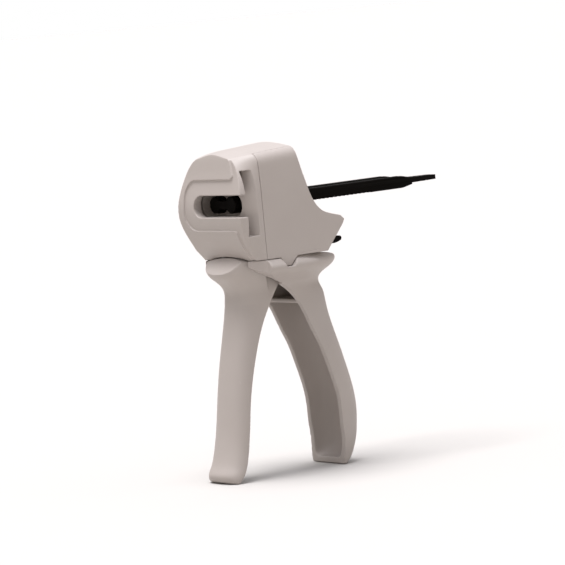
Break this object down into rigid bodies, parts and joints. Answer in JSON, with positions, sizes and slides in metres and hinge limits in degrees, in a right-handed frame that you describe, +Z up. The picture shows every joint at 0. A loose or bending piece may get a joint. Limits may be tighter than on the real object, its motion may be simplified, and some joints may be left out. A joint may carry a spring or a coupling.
{
  "type": "mixing cartridge dispenser",
  "caption": "Hand-held squeeze dispenser for a side-loaded mixing cartridge, with pivoting trigger, ratchet pawl, thumb release and a sliding black plunger.",
  "frame": {"origin": "on the plunger axis, on the rear face of the front plate where the cartridge flange bears", "axes": "+Z up along the handles, the cartridge points along -Y, +X is the side the cartridge slides in from"},
  "size_m": [0.0532, 0.1424, 0.1554],
  "materials": {
    "light_plastic": "fine satin moulding",
    "black_plastic": "slight sheen",
    "mechanism_plastic": "smooth",
    "steel": "drawn wire and turned pins"
  },
  "bodies": {
    "frame": {"grip_frame": "light_plastic", "front_housing": "light_plastic", "cover_right": "light_plastic", "cover_left": "light_plastic", "cover_screws": "steel", "rear_guide": "light_plastic", "trigger_pin": "steel", "catch_pin": "steel", "trigger_spring": "steel", "catch_spring": "steel"},
    "trigger": {"trigger": "light_plastic", "pawl_pin": "steel", "pawl_spring": "steel"},
    "pawl": {"drive_pawl": "mechanism_plastic"},
    "catch": {"release_lever": "black_plastic"},
    "plunger": {"rod_right": "black_plastic", "rod_left": "black_plastic", "pusher_head": "black_plastic", "pull_tab": "black_plastic"}
  },
  "joints": [
    {"name": "trigger_pull", "type": "hinge", "parent": "frame", "child": "trigger", "pos_m": [0, 0.022, -0.026], "axis": [1, 0, 0], "range_deg": [0, 24], "stiffness_Nm_per_rad": 0.5, "springref_deg": -11.46, "deforming": ["trigger_spring"]},
    {"name": "pawl_swing", "type": "hinge", "parent": "trigger", "child": "pawl", "pos_m": [0, 0.024, -0.013], "axis": [1, 0, 0], "range_deg": [-24, 0], "deforming": ["pawl_spring"]},
    {"name": "release_press", "type": "hinge", "parent": "frame", "child": "catch", "pos_m": [0, 0.044, -0.017], "axis": [1, 0, 0], "range_deg": [0, 9], "stiffness_Nm_per_rad": 0.1, "springref_deg": -8.59, "deforming": ["catch_spring"]},
    {"name": "plunger_slide", "type": "slide", "parent": "frame", "child": "plunger", "axis": [0, -1, 0], "range_m": [0, 0.05]}
  ],
  "couplings": [
    {"joint": "pawl_swing", "follows": "trigger_pull", "ratio": -1}
  ]
}
